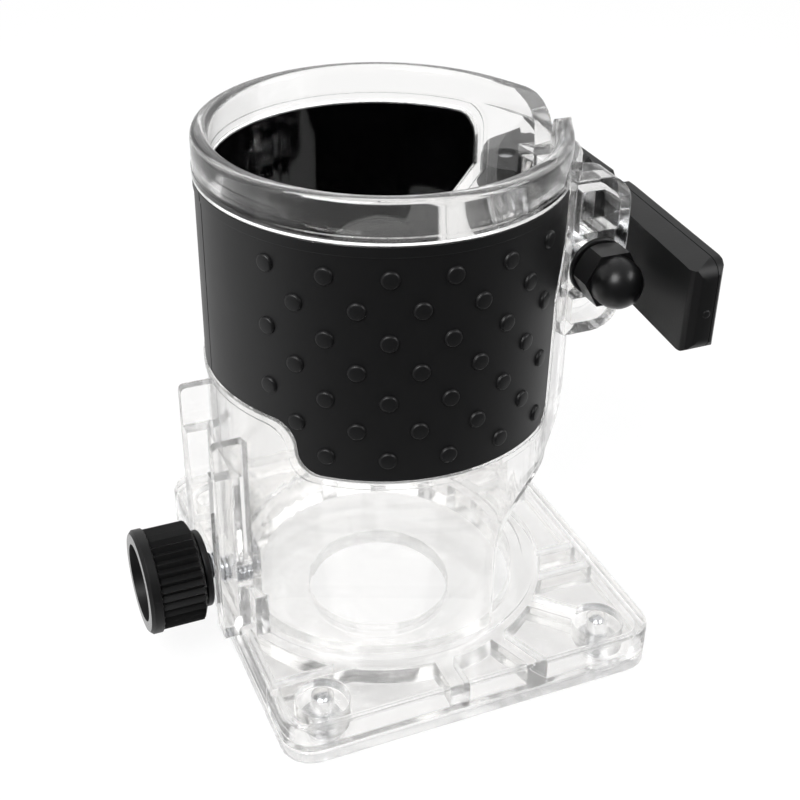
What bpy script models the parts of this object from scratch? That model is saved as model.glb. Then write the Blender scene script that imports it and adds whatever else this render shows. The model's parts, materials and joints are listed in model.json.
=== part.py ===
"""Clear split-collar base of a trim router, with its grips, cam clamp and guide thumbscrew.

Units are metres, +Z up. In the assembly's own frame the cutter's axis is x = y = 0 and the
underside of the sub-base is z = 0. The clamp is on +X, the thumbscrew on -X and the side that
faces the user is -Y. An empty then centres the whole footprint on the world's origin.
"""

import math

import bmesh
import bpy
from mathutils import Matrix, Vector

MM = 0.001

# Fits
SEAT_GAP = 0.3 * MM
HOLE_GAP = 0.3 * MM
BLEND = 1.0 * MM

# Collar for the motor
TUBE_R = 35.5 * MM
TUBE_WALL = 3.0 * MM
RING_PROUD = 0.4 * MM
COLLAR_TOP = 112.2 * MM
RING_HEIGHT = 6.8 * MM
RING_STEP = 1.0 * MM
LIP_ROUND = 1.4 * MM
ROUND_STEPS = 78

# Split in the collar and the chip window under it
SLIT_WIDTH = 6.4 * MM
SLIT_CORNER = 8.0 * MM
SPLIT_DEG = 25.0
WINDOW_X = 12.0 * MM
WINDOW_TOP = 43.0 * MM
WINDOW_CORNER = 13.0 * MM
WINDOW_SILL = 0.3 * MM

# Rubber grips and the bead that frames them
GRIP_TOP = 103.7 * MM
GRIP_LOW = 55.3 * MM
GRIP_LOW_LEFT = 65.5 * MM
GRIP_STEP_DEG = 42.0
GRIP_END_DEG = 135.7
GRIP_END_ROUND = 5.0 * MM
GRIP_FLARE = 7.2 * MM
GRIP_FLARE_LOW = 82.5 * MM
GRIP_FLARE_HIGH = 93.0 * MM
GRIP_FLARE_STEP = 0.3 * MM
GRIP_THICK = 1.4 * MM
GRIP_COLUMN_DEG = 4.0
BEAD_WIDTH = 1.8 * MM
BEAD_PROUD = 0.5 * MM

# Flange and sub-base
BASE_LIP = 1.3 * MM
BASE_RIGHT = 45.5 * MM
BASE_DEPTH = 92.0 * MM
BASE_CORNER = 6.5 * MM
SUB_BASE_THICK = 3.5 * MM
FLANGE_HEIGHT = 6.5 * MM
FLANGE_PLATE = 2.5 * MM
FLANGE_WALL = 2.5 * MM
EDGE_ROUND = 1.2 * MM
BIT_HOLE_R = 16.0 * MM
PLATE_LEDGE = 2.5 * MM
RIB_WIDTH = 4.2 * MM
THIN_RIB = 2.4 * MM
FRONT_RIB_DEG = (-90.0, -68.0)
RIGHT_RIB_Y = (12.5 * MM, 20.0 * MM)
LEFT_RIB_Y = 30.5 * MM

# Screws that hold the sub-base
SCREW_IN_LEFT = 9.8 * MM
SCREW_IN_RIGHT = 10.0 * MM
SCREW_IN_DEPTH = 8.7 * MM
SCREW_R = 2.0 * MM
SCREW_HEAD_R = 3.9 * MM
SCREW_HEAD_HEIGHT = 2.0 * MM
SCREW_SUNK = 0.3 * MM
SCREW_LENGTH = 8.6 * MM
SCREW_SLOT = 1.0 * MM
BOSS_R = 5.5 * MM

# Clamp ears beside the split
EAR_REACH = 13.9 * MM
EAR_LOW = 64.8 * MM
EAR_HIGH = 99.2 * MM
EAR_DEPTH = 11.2 * MM
EAR_CORNER = 6.5 * MM
EAR_PLATE = 2.1 * MM
EAR_RIM = 2.5 * MM
EAR_BOSS_R = 6.9 * MM
EAR_BLOCK_MARGIN = 0.4 * MM
REAR_BOSS_DEPTH = 14.0 * MM
FLANK_MARGIN = 0.7 * MM
FLANK_REACH = 7.0 * MM
FLANK_LOW = 44.5 * MM
FLANK_DROP = 6.2 * MM
FLANK_CORNER = 7.0 * MM
FLANK_NOSE = 3.0 * MM

# Clamp bolt, nut and washers
BOLT_REACH = 6.8 * MM
BOLT_Z = 80.4 * MM
BOLT_R = 3.0 * MM
EYE_R = 4.6 * MM
EYE_HALF = 3.2 * MM
NUT_WASHER_R = 6.2 * MM
NUT_WASHER_THICK = 1.2 * MM
SPOT_FACE_ROOM = 0.6 * MM
NUT_FLATS = 11.0 * MM
NUT_HEX = 5.6 * MM
NUT_NECK = 1.6 * MM
DOME_R = 5.2 * MM
NUT_BORE_DEPTH = 9.0 * MM
CAM_WASHER_R = 7.0 * MM
CAM_WASHER_THICK = 1.5 * MM

# Cam lever
PIN_R = 2.0 * MM
PIN_SUNK = 0.8 * MM
CAM_R = 8.5 * MM
CAM_DROP_PER_RAD = 0.7 * MM
CAM_TURN_DEG = 130.0
LEVER_LOW = 71.0 * MM
LEVER_HIGH = 90.3 * MM
LEVER_CLEAR = 2.4 * MM
LEVER_THICK = 6.2 * MM
LEVER_TIP_THICK = 7.0 * MM
LEVER_LEAN = 2.2 * MM
LEVER_BEND_Y = 1.0 * MM
LEVER_TIP_Y = -37.0 * MM
LEVER_HEEL = 8.0 * MM
LEVER_FACET = 1.4 * MM
LEVER_FACET_DEPTH = 3.6 * MM
LEVER_TIP_ROUND = 2.8 * MM
LEVER_CORNER = 3.8 * MM
LEVER_EDGE = 1.6 * MM
WAIST_DEPTH = 2.2 * MM
WAIST_FRONT = 2.5 * MM
WAIST_BACK = 9.0 * MM
FORK_GAP = 0.4 * MM
FORK_ROOM = 0.7 * MM

# Guide bracket and its thumbscrew
RAIL_REACH = 4.4 * MM
RAIL_HALF = 12.8 * MM
RAIL_WALL = 2.2 * MM
RAIL_CORNER = 1.2 * MM
CHANNEL_HALF = 7.5 * MM
CHANNEL_PROUD = 0.1 * MM
RAIL_LOW = 8.0 * MM
RAIL_HIGH = 56.3 * MM
STEP_HIGH = 47.5 * MM
GUSSET_WIDTH = 4.0 * MM
GUSSET_HEIGHT = 10.0 * MM
GUSSET_BACK = 6.0 * MM
STUD_Z = 17.8 * MM
STUD_R = 2.9 * MM
STUD_BLOCK_HALF = 6.0 * MM
STUD_BLOCK_REACH = 3.9 * MM
STUD_BLOCK_HIGH = 24.0 * MM
STUD_PROUD = 0.6 * MM
GUIDE_WASHER_R = 8.3 * MM
GUIDE_WASHER_THICK = 1.6 * MM
KNOB_R = 10.8 * MM
KNOB_RING_R = 11.2 * MM
KNOB_LENGTH = 12.3 * MM
KNOB_RING = 2.5 * MM
KNOB_RIDGES = 34
KNOB_RIDGE_DEPTH = 1.0 * MM
KNOB_CUP_R = 8.3 * MM
KNOB_CUP_DEPTH = 5.5 * MM
KNOB_EDGE = 0.7 * MM
KNOB_SOCKET = 5.0 * MM

# Heights and places that follow from the sizes above
FLANGE_LOW = SUB_BASE_THICK + SEAT_GAP
FLANGE_TOP = FLANGE_LOW + FLANGE_HEIGHT
PLATE_LOW = FLANGE_TOP - FLANGE_PLATE
HALF_DEPTH = BASE_DEPTH / 2
BORE_R = TUBE_R - TUBE_WALL
RING_R = TUBE_R + RING_PROUD
BASE_LEFT = TUBE_R + BASE_LIP
PLATE_HOLE_R = BORE_R - PLATE_LEDGE
SCREW_LEFT = BASE_LEFT - SCREW_IN_LEFT
SCREW_RIGHT = BASE_RIGHT - SCREW_IN_RIGHT
SCREW_Y = HALF_DEPTH - SCREW_IN_DEPTH
EAR_OUT = TUBE_R + EAR_REACH
FLANK_OUT = TUBE_R + FLANK_REACH
FLANK_HIGH = COLLAR_TOP - FLANK_DROP
BOLT_X = TUBE_R + BOLT_REACH
SPOT_FACE_R = NUT_WASHER_R + SPOT_FACE_ROOM
LEVER_IN = EAR_OUT + LEVER_CLEAR
LEVER_OUT = LEVER_IN + LEVER_THICK
LEVER_TIP_OUT = LEVER_OUT - LEVER_LEAN
LEVER_TIP_IN = LEVER_TIP_OUT - LEVER_TIP_THICK
RAIL_OUT = TUBE_R + RAIL_REACH
CHANNEL_FLOOR = TUBE_R + CHANNEL_PROUD
GUSSET_X = TUBE_R - GUSSET_BACK
STUD_BLOCK_X = BORE_R - STUD_BLOCK_REACH
STUD_END_X = STUD_BLOCK_X - STUD_PROUD
RECESS_R = RING_R - GRIP_THICK - SEAT_GAP
CAM_WASHER_Y = REAR_BOSS_DEPTH + SEAT_GAP
PIN_Y = CAM_WASHER_Y + CAM_WASHER_THICK + SEAT_GAP + CAM_R
NUT_WASHER_Y = -EAR_DEPTH - SEAT_GAP
NUT_Y = NUT_WASHER_Y - NUT_WASHER_THICK - SEAT_GAP
BOLT_END_Y = NUT_Y - NUT_BORE_DEPTH + SEAT_GAP
GUIDE_WASHER_X = -RAIL_OUT - SEAT_GAP
KNOB_X = GUIDE_WASHER_X - GUIDE_WASHER_THICK - SEAT_GAP
KNOB_FACE_X = KNOB_X - KNOB_LENGTH
FOOTPRINT_CENTRE_X = (KNOB_FACE_X + LEVER_OUT) / 2


def clear_scene():
    for old in list(bpy.data.objects):
        bpy.data.objects.remove(old, do_unlink=True)


def finish(name, colour, roughness, metallic=0.0, alpha=1.0):
    """A Principled material in one plain colour."""
    made = bpy.data.materials.new(name)
    made.use_nodes = True
    shader = made.node_tree.nodes["Principled BSDF"]
    shader.inputs["Base Color"].default_value = (*colour, 1.0)
    shader.inputs["Roughness"].default_value = roughness
    shader.inputs["Metallic"].default_value = metallic
    shader.inputs["Alpha"].default_value = alpha
    return made


def arc(cx, cy, radius, start, end, steps=6):
    """Points on an arc from one angle to another, in degrees, with both ends."""
    turns = [math.radians(start + (end - start) * i / steps) for i in range(steps + 1)]
    return [(cx + radius * math.cos(t), cy + radius * math.sin(t)) for t in turns]


def rounded_rect(x0, x1, y0, y1, radius, steps=6):
    corners = ((x1, y1, 0), (x0, y1, 90), (x0, y0, 180), (x1, y0, 270))
    points = []
    for x, y, start in corners:
        cx = x - math.copysign(radius, x - (x0 + x1) / 2)
        cy = y - math.copysign(radius, y - (y0 + y1) / 2)
        points += arc(cx, cy, radius, start, start + 90, steps)
    return points


def rect(x0, x1, y0, y1):
    return [(x1, y1), (x0, y1), (x0, y0), (x1, y0)]


def circle(cx, cy, radius, steps=ROUND_STEPS):
    return arc(cx, cy, radius, 0, 360, steps)[:-1]


def closed(bm):
    bmesh.ops.recalc_face_normals(bm, faces=bm.faces)
    return bm


def skin(rings, wrap=False):
    """A closed mesh through rings of points; a ring of one point is a pole."""
    bm = bmesh.new()
    loops = [[bm.verts.new(p) for p in ring] for ring in rings]
    pairs = list(zip(loops, loops[1:]))
    if wrap:
        pairs.append((loops[-1], loops[0]))
    for low, high in pairs:
        count = max(len(low), len(high))
        for i in range(count):
            j = (i + 1) % count
            corners = []
            for v in (low[i % len(low)], low[j % len(low)], high[j % len(high)], high[i % len(high)]):
                if v not in corners:
                    corners.append(v)
            bm.faces.new(corners)
    if not wrap:
        for loop in (loops[0], loops[-1]):
            if len(loop) > 1:
                bm.faces.new(loop)
    return closed(bm)


def prism(outline, low, high, axis="Z"):
    """A solid between two planes across an axis, from an outline in the other two directions."""
    place = {
        "X": lambda a, b, h: (h, a, b),
        "Y": lambda a, b, h: (a, h, b),
        "Z": lambda a, b, h: (a, b, h),
    }[axis]
    return skin([[place(a, b, h) for a, b in outline] for h in (low, high)])


def turned(profile, steps=ROUND_STEPS, axis="Z", centre=(0, 0, 0)):
    """A solid of revolution from (radius, height) points, turned about an axis through a centre."""
    place = {
        "X": lambda a, b, h: (h, a, b),
        "Y": lambda a, b, h: (b, h, a),
        "Z": lambda a, b, h: (a, b, h),
    }[axis]
    rings = []
    for radius, height in profile:
        outline = circle(0, 0, radius, steps) if radius > 0 else [(0, 0)]
        rings.append([Vector(place(a, b, height)) + Vector(centre) for a, b in outline])
    return skin(rings)


def disc(radius, low, high, axis, centre=(0, 0, 0), steps=32):
    return turned([(radius, low), (radius, high)], steps, axis, centre)


def piece(name, bm, material, origin=(0, 0, 0)):
    """A named object whose origin is at a point of the assembly's frame."""
    bm.transform(Matrix.Translation(-Vector(origin)))
    mesh = bpy.data.meshes.new(name)
    bm.to_mesh(mesh)
    bm.free()
    made = bpy.data.objects.new(name, mesh)
    made.location = origin
    if material:
        mesh.materials.append(material)
    bpy.context.scene.collection.objects.link(made)
    return made


def combine(target, bm, operation):
    """Joins a tool to a piece, or cuts it away, and keeps the result as plain mesh."""
    tool = piece("tool", bm, None)
    step = target.modifiers.new("step", "BOOLEAN")
    step.operation = operation
    step.solver = "EXACT"
    step.object = tool
    bpy.context.view_layer.update()
    bpy.context.view_layer.objects.active = target
    bpy.ops.object.modifier_apply(modifier=step.name)
    bpy.data.objects.remove(tool, do_unlink=True)


def join(target, bm):
    combine(target, bm, "UNION")


def cut(target, bm):
    combine(target, bm, "DIFFERENCE")


def taken(scratch):
    """The mesh of a scratch object as a tool, with the object removed."""
    shape = bmesh.new()
    shape.from_mesh(scratch.data)
    bpy.data.objects.remove(scratch, do_unlink=True)
    return shape


def round_edges(target, width, segments=2, angle=50):
    """Rounds the sharp edges of a piece."""
    step = target.modifiers.new("round", "BEVEL")
    step.width = width
    step.segments = segments
    step.limit_method = "ANGLE"
    step.angle_limit = math.radians(angle)
    bpy.context.view_layer.objects.active = target
    bpy.ops.object.modifier_apply(modifier=step.name)


def ear_bolt_hole():
    reach = REAR_BOSS_DEPTH + BLEND
    return disc(BOLT_R + HOLE_GAP, -reach, reach, "Y", (BOLT_X, 0, BOLT_Z))


def screw_places():
    return [(x, y) for y in (-SCREW_Y, SCREW_Y) for x in (-SCREW_LEFT, SCREW_RIGHT)]


def base_outline(inset=0.0):
    """The flange's and sub-base's rounded rectangle, drawn in by an inset."""
    return rounded_rect(
        -BASE_LEFT + inset,
        BASE_RIGHT - inset,
        -HALF_DEPTH + inset,
        HALF_DEPTH - inset,
        max(BASE_CORNER - inset, BLEND),
    )


def rounded_slab(low, high, edge):
    """The base outline as a slab whose top edge is rounded."""
    rings = [[(x, y, low) for x, y in base_outline()]]
    for turn in (0, 30, 60, 90):
        angle = math.radians(turn)
        inset = edge * (1 - math.cos(angle))
        height = high - edge + edge * math.sin(angle)
        rings.append([(x, y, height) for x, y in base_outline(inset)])
    return skin(rings)


def bar(start, end, width, low, high):
    """A straight rib between two points in plan."""
    a, b = Vector(start), Vector(end)
    along = (b - a).normalized()
    side = Vector((-along.y, along.x)) * width / 2
    return prism([a - side, b - side, b + side, a + side], low, high)


def radial(angle_deg, radius):
    return (radius * math.cos(math.radians(angle_deg)), radius * math.sin(math.radians(angle_deg)))


def flange_ribs(low, high):
    """Ribs under the flange's plate, the same at the front and at the back."""
    ring = TUBE_R - BLEND
    wall_y = HALF_DEPTH - FLANGE_WALL / 2
    made = []
    for side in (-1, 1):
        for angle in FRONT_RIB_DEG:
            reach = wall_y / math.sin(math.radians(-angle))
            ends = [radial(-side * angle, r) for r in (ring, reach)]
            made.append(bar(*ends, RIB_WIDTH, low, high))
        corner = (SCREW_RIGHT, side * SCREW_Y)
        toward = Vector(corner).normalized() * ring
        made.append(bar(toward, corner, RIB_WIDTH, low, high))
        for y in RIGHT_RIB_Y:
            ends = [(x, side * y) for x in (math.sqrt(ring ** 2 - y ** 2), BASE_RIGHT - FLANGE_WALL / 2)]
            made.append(bar(*ends, THIN_RIB, low, high))
        y = LEFT_RIB_Y
        ends = [(x, side * y) for x in (-math.sqrt(TUBE_R ** 2 - y ** 2) + BLEND, -BASE_LEFT + FLANGE_WALL / 2)]
        made.append(bar(*ends, THIN_RIB, low, high))
    return made


def flange():
    """Top plate and side walls, hollow below, with ribs, screw bosses and a ring round the bore."""
    made = piece("base_housing", rounded_slab(FLANGE_LOW, FLANGE_TOP, EDGE_ROUND), None)
    low, high = FLANGE_LOW - BLEND, PLATE_LOW
    over = high + BLEND
    hollow = piece("hollow", prism(base_outline(FLANGE_WALL), low, high), None)
    cut(hollow, disc(TUBE_R + BLEND, low - BLEND, over, "Z", steps=ROUND_STEPS))
    for x, y in screw_places():
        cut(hollow, disc(BOSS_R, low - BLEND, over, "Z", (x, y, 0)))
    for rib in flange_ribs(low - BLEND, over):
        cut(hollow, rib)
    cut(made, taken(hollow))
    return made


def tube_core():
    """The outside of the collar and neck, solid, with the rounded lip at the top."""
    ring_low = COLLAR_TOP - RING_HEIGHT
    lip = arc(RING_R - LIP_ROUND, COLLAR_TOP - LIP_ROUND, LIP_ROUND, 0, 90, 5)
    profile = [(0, FLANGE_LOW + BLEND), (TUBE_R, FLANGE_LOW + BLEND), (TUBE_R, ring_low - RING_STEP)]
    profile += [(RING_R, ring_low), *lip, (0, COLLAR_TOP)]
    return turned(profile)


def bore_tool():
    """The motor bore over the plate's smaller hole, flared at its mouth by the inner half of the lip."""
    mouth = arc(BORE_R + LIP_ROUND, COLLAR_TOP - LIP_ROUND, LIP_ROUND, 180, 90, 5)
    profile = [(0, FLANGE_LOW - BLEND), (PLATE_HOLE_R, FLANGE_LOW - BLEND), (PLATE_HOLE_R, FLANGE_TOP)]
    profile += [(BORE_R, FLANGE_TOP), *mouth]
    profile += [(BORE_R + LIP_ROUND, COLLAR_TOP + BLEND), (0, COLLAR_TOP + BLEND)]
    return turned(profile)


def grip_edges(grow):
    """Lower and upper edge of the black grip, by arc length from the seam, drawn out by grow."""
    per_degree = math.radians(1) * RING_R
    step = GRIP_STEP_DEG * per_degree - grow
    end = GRIP_END_DEG * per_degree + grow
    far = end + GRIP_FLARE
    low, low_left, top = GRIP_LOW - grow, GRIP_LOW_LEFT - grow, GRIP_TOP + grow
    curve = (low_left - low) / 2
    middle = (low_left + low) / 2

    def lower(s):
        if s <= step - curve:
            return low_left
        if s <= step:
            return middle + math.sqrt(max(curve ** 2 - (s - step + curve) ** 2, 0))
        if s <= step + curve:
            return middle - math.sqrt(max(curve ** 2 - (step + curve - s) ** 2, 0))
        if s <= end:
            into = max(s - end + GRIP_END_ROUND, 0)
            return low + GRIP_END_ROUND - math.sqrt(max(GRIP_END_ROUND ** 2 - into ** 2, 0))
        part = (s - end - GRIP_FLARE_STEP) / (GRIP_FLARE - GRIP_FLARE_STEP)
        return GRIP_FLARE_LOW - grow + part * (GRIP_FLARE_HIGH - GRIP_FLARE_LOW)

    def upper(s):
        into = max(s - far + GRIP_END_ROUND, 0)
        return top - GRIP_END_ROUND + math.sqrt(max(GRIP_END_ROUND ** 2 - into ** 2, 0))

    turns = [math.sin(math.radians(t)) for t in (15, 30, 45, 60, 75, 90)]
    stops = [step - curve + curve * t for t in turns] + [step + curve - curve * t for t in turns[:-1]]
    stops += [end - GRIP_END_ROUND + GRIP_END_ROUND * t for t in turns]
    stops += [far - GRIP_END_ROUND + GRIP_END_ROUND * t for t in turns]
    stops += [step - curve, step + curve, end - GRIP_END_ROUND, end + GRIP_FLARE_STEP]
    columns = int(GRIP_END_DEG / GRIP_COLUMN_DEG)
    clear = GRIP_COLUMN_DEG * per_degree / 3
    stops += [s for i in range(1, columns) for s in [i * GRIP_COLUMN_DEG * per_degree]
              if all(abs(s - k) > clear for k in stops)]
    return sorted(stops), lower, upper


def grip_sheet(inner, outer, grow, side, seam):
    """A curved sheet with the grip's outline; side is -1 at the front, 1 at the back, 0 for both."""
    stops, lower, upper = grip_edges(grow)
    spots = [(-1, s) for s in reversed(stops)] if side <= 0 else []
    spots += [(-1, seam)] if side < 0 else [(1, seam)] if side > 0 else [(1, 0.0)]
    spots += [(1, s) for s in stops] if side >= 0 else []
    rings = []
    for sign, s in spots:
        angle = math.pi - sign * s / RING_R
        corners = ((inner, lower(s)), (outer, lower(s)), (outer, upper(s)), (inner, upper(s)))
        rings.append([(r * math.cos(angle), r * math.sin(angle), z) for r, z in corners])
    return skin(rings)


def window_tool():
    """The open side below the clamp, with a round upper inner corner."""
    low, far = FLANGE_TOP + WINDOW_SILL, BASE_RIGHT + BLEND
    corner = arc(WINDOW_X + WINDOW_CORNER, WINDOW_TOP - WINDOW_CORNER, WINDOW_CORNER, 180, 90, 8)
    outline = [(far, low), (WINDOW_X, low), *corner, (far, WINDOW_TOP)]
    return prism(outline, -HALF_DEPTH, HALF_DEPTH, "Y")


def slit_tool():
    """The split, opened out at the top so that the ring's two ends are rounded."""
    half, low, top = SLIT_WIDTH / 2, WINDOW_TOP - BLEND, COLLAR_TOP
    right = arc(half + SLIT_CORNER, top - SLIT_CORNER, SLIT_CORNER, 180, 90, 6)
    left = [(-a, b) for a, b in reversed(right)]
    lift = top + BLEND
    outline = [(half, low), *right, (half + SLIT_CORNER, lift), (-half - SLIT_CORNER, lift), *left, (-half, low)]
    return prism(outline, BORE_R / 2, EAR_OUT + BLEND, "X")


def split_ring(radius, z):
    """Plan of a wall face beside the split, where it leaves its circle at a tangent."""
    turn, half = math.radians(SPLIT_DEG), SLIT_WIDTH / 2
    end = (radius - half * math.sin(turn)) / math.cos(turn)
    front = [(BORE_R / 2, -radius * math.sin(turn)), (radius * math.cos(turn), -radius * math.sin(turn)), (end, -half)]
    return [(x, y, z) for x, y in front] + [(x, -y, z) for x, y in reversed(front)]


def split_lips():
    """The outside of the ring's two ends, with the lip's rounding."""
    low = COLLAR_TOP - RING_HEIGHT
    lip = arc(RING_R - LIP_ROUND, COLLAR_TOP - LIP_ROUND, LIP_ROUND, 0, 90, 5)
    steps = [(TUBE_R, FLANK_HIGH - FLANK_CORNER), (TUBE_R, low - RING_STEP), (RING_R, low), *lip]
    return skin([split_ring(radius, z) for radius, z in steps])


def split_relief():
    """The bore's widening towards the split."""
    mouth = arc(BORE_R + LIP_ROUND, COLLAR_TOP - LIP_ROUND, LIP_ROUND, 180, 90, 5)
    steps = [(BORE_R, FLANK_LOW + FLANK_NOSE), *mouth, (BORE_R + LIP_ROUND, COLLAR_TOP + BLEND)]
    return skin([split_ring(radius, z) for radius, z in steps])


def ear_outline(root, inset=0.0):
    """Side view of an ear, drawn in by an inset except at its root."""
    out, low, high = EAR_OUT - inset, EAR_LOW + inset, EAR_HIGH - inset
    corner = EAR_CORNER - inset
    outline = [(root, low), *arc(out - corner, low + corner, corner, -90, 0)]
    return outline + [*arc(out - corner, high - corner, corner, 0, 90), (root, high)]


def split_flanks():
    """The wall beside the split: flat flanks that leave the collar at a tangent, rounded off at the top."""
    half = SLIT_WIDTH / 2 + FLANK_MARGIN
    turn = math.atan2(half, FLANK_OUT) + math.acos(TUBE_R / math.hypot(FLANK_OUT, half))
    start = (TUBE_R * math.cos(turn), -TUBE_R * math.sin(turn))
    inner = BORE_R / 2

    def ring(reach, z):
        def flank(x):
            return start[1] + (x - start[0]) / math.tan(turn)

        nose = [(reach - t * FLANK_NOSE, flank(reach - t * FLANK_NOSE) + k * FLANK_NOSE)
                for t, k in ((1.0, 0.0), (0.35, 0.25), (0.0, 0.9))]
        front = [(inner, start[1]), start, *nose]
        return [(x, y, z) for x, y in front] + [(x, -y, z) for x, y in reversed(front)]

    rings = [ring(FLANK_OUT - FLANK_NOSE, FLANK_LOW), ring(FLANK_OUT, FLANK_LOW + FLANK_NOSE)]
    drop = FLANK_OUT - RING_R
    for t in range(0, 91, 18):
        angle = math.radians(t)
        height = FLANK_HIGH - FLANK_CORNER * (1 - math.sin(angle))
        rings.append(ring(FLANK_OUT - drop * (1 - math.cos(angle)), height))
    return skin(rings)


def ear_blocks():
    """Both clamp ears and the thickened wall along the split, in blocks that the slit then parts."""
    root = math.sqrt(TUBE_R ** 2 - EAR_DEPTH ** 2) - BLEND
    boss = disc(EAR_BOSS_R, 0, REAR_BOSS_DEPTH, "Y", (BOLT_X, 0, BOLT_Z), 40)
    return [prism(ear_outline(root), -EAR_DEPTH, EAR_DEPTH, "Y"), split_flanks(), split_lips(), boss]


def ear_pockets():
    """The hollows on the outer side of each ear, above and below the bolt's block."""
    made = []
    for side in (-1, 1):
        far = side * (REAR_BOSS_DEPTH + BLEND)
        span = sorted((side * (SLIT_WIDTH / 2 + EAR_PLATE), far))
        hollow = piece("hollow", prism(ear_outline(TUBE_R + EAR_RIM, EAR_RIM), *span, "Y"), None)
        half = EAR_BOSS_R + EAR_BLOCK_MARGIN
        block = rect(BORE_R, EAR_OUT, BOLT_Z - half, BOLT_Z + half)
        cut(hollow, prism(block, *sorted((0, 2 * far)), "Y"))
        made.append(taken(hollow))
    return made


def guide_bracket():
    """Two upright rails with a lower step inside each, a web behind the channel and a foot outside."""
    root = math.sqrt(TUBE_R ** 2 - RAIL_HALF ** 2) - BLEND
    web = rect(-CHANNEL_FLOOR, -BORE_R, -CHANNEL_HALF - BLEND, CHANNEL_HALF + BLEND)
    made = [prism(web, RAIL_LOW, STEP_HIGH)]
    for side in (-1, 1):
        near, far = sorted((side * (RAIL_HALF - RAIL_WALL), side * RAIL_HALF))
        crown = arc(-RAIL_OUT + RAIL_CORNER, RAIL_HIGH - RAIL_CORNER, RAIL_CORNER, 90, 180, 4)
        made.append(prism([(-root, RAIL_LOW), (-root, RAIL_HIGH), *crown, (-RAIL_OUT, RAIL_LOW)], near, far, "Y"))
        near, far = sorted((side * CHANNEL_HALF, side * (RAIL_HALF - RAIL_WALL / 2)))
        made.append(prism(rect(-RAIL_OUT, -root, near, far), RAIL_LOW, STEP_HIGH))
        near, far = sorted((side * (RAIL_HALF - BLEND), side * (RAIL_HALF + GUSSET_WIDTH)))
        foot = rect(-root - 2 * BLEND, -GUSSET_X, near, far)
        made.append(prism(foot, PLATE_LOW + BLEND, FLANGE_TOP + GUSSET_HEIGHT))
    return made


def stud_block():
    """The block inside the neck that the thumbscrew's thread runs in."""
    outline = rect(-STUD_BLOCK_X, -BORE_R - BLEND, -STUD_BLOCK_HALF, STUD_BLOCK_HALF)
    return prism(outline, FLANGE_TOP - BLEND, STUD_BLOCK_HIGH)


def base_housing(material):
    made = flange()
    for block in guide_bracket() + ear_blocks():
        join(made, block)
    join(made, tube_core())
    join(made, grip_sheet(RECESS_R, TUBE_R + BEAD_PROUD, BEAD_WIDTH, 0, 0))
    cut(made, bore_tool())
    cut(made, split_relief())
    cut(made, grip_sheet(RECESS_R, RING_R + BLEND, SEAT_GAP, 0, 0))
    cut(made, window_tool())
    for pocket in ear_pockets():
        cut(made, pocket)
    cut(made, slit_tool())
    cut(made, ear_bolt_hole())
    cut(made, disc(SPOT_FACE_R, -HALF_DEPTH, -EAR_DEPTH, "Y", (BOLT_X, 0, BOLT_Z), 40))
    join(made, stud_block())
    cut(made, disc(STUD_R + HOLE_GAP, -RAIL_OUT, -BORE_R / 2, "X", (0, 0, STUD_Z), 24))
    for x, y in screw_places():
        top = SCREW_SUNK + SCREW_LENGTH + SEAT_GAP
        cut(made, disc(SCREW_R + HOLE_GAP, FLANGE_LOW - BLEND, top, "Z", (x, y, 0), 16))
    made.data.materials.clear()
    made.data.materials.append(material)
    return made


def screw_profile(gap):
    """Countersunk screw from below, or its hole when a gap is given."""
    low = SCREW_SUNK - (BLEND if gap else 0)
    head = SCREW_SUNK + SCREW_HEAD_HEIGHT
    return [(SCREW_HEAD_R + gap, low), (SCREW_HEAD_R + gap, SCREW_SUNK), (SCREW_R + gap, head)]


def sub_base(material):
    outline = base_outline()
    made = piece("sub_base", prism(outline, 0, SUB_BASE_THICK), material)
    round_edges(made, EDGE_ROUND / 2, 1, 80)
    cut(made, disc(BIT_HOLE_R, -BLEND, SUB_BASE_THICK + BLEND, "Z", steps=64))
    for x, y in screw_places():
        hole = screw_profile(HOLE_GAP) + [(SCREW_R + HOLE_GAP, SUB_BASE_THICK + BLEND)]
        cut(made, turned(hole, 20, "Z", (x, y, 0)))
    return made


def base_screw(number, x, y, material):
    head = [(r, z) for r, z in screw_profile(0)[1:]]
    tip = SCREW_SUNK + SCREW_LENGTH
    shank = [(SCREW_R, tip - SCREW_R / 2), (SCREW_R / 2, tip), (0, tip)]
    made = piece(f"base_screw_{number}", turned([(0, SCREW_SUNK), *head, *shank], 20, "Z", (x, y, 0)), material, (x, y, 0))
    for turn in (0, 90):
        ends = [Vector((x, y)) + Vector(radial(turn + half, SCREW_HEAD_R * 0.6)) for half in (0, 180)]
        cut(made, bar(*ends, SCREW_SLOT, SCREW_SUNK - BLEND, SCREW_SUNK + SCREW_SLOT))
    return made


def grip(name, side, material):
    return piece(name, grip_sheet(RECESS_R + SEAT_GAP, RING_R, 0, side, SEAT_GAP / 2), material)


def clamp_bolt(material):
    """A plain rod with a cross-drilled eye at the lever's end."""
    centre = (BOLT_X, 0, BOLT_Z)
    made = piece("clamp_bolt", disc(BOLT_R, BOLT_END_Y, PIN_Y, "Y", centre, 24), material, (BOLT_X, PIN_Y, BOLT_Z))
    eye = (BOLT_X, PIN_Y, BOLT_Z)
    join(made, disc(EYE_R, -EYE_HALF, EYE_HALF, "Z", eye))
    cut(made, disc(PIN_R + HOLE_GAP, -EYE_R, EYE_R, "Z", eye, 24))
    return made


def lever_pin(material):
    low, high = LEVER_LOW + PIN_SUNK, LEVER_HIGH - PIN_SUNK
    return piece("lever_pin", disc(PIN_R, low, high, "Z", (BOLT_X, PIN_Y, 0), 24), material, (BOLT_X, PIN_Y, BOLT_Z))


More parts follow.
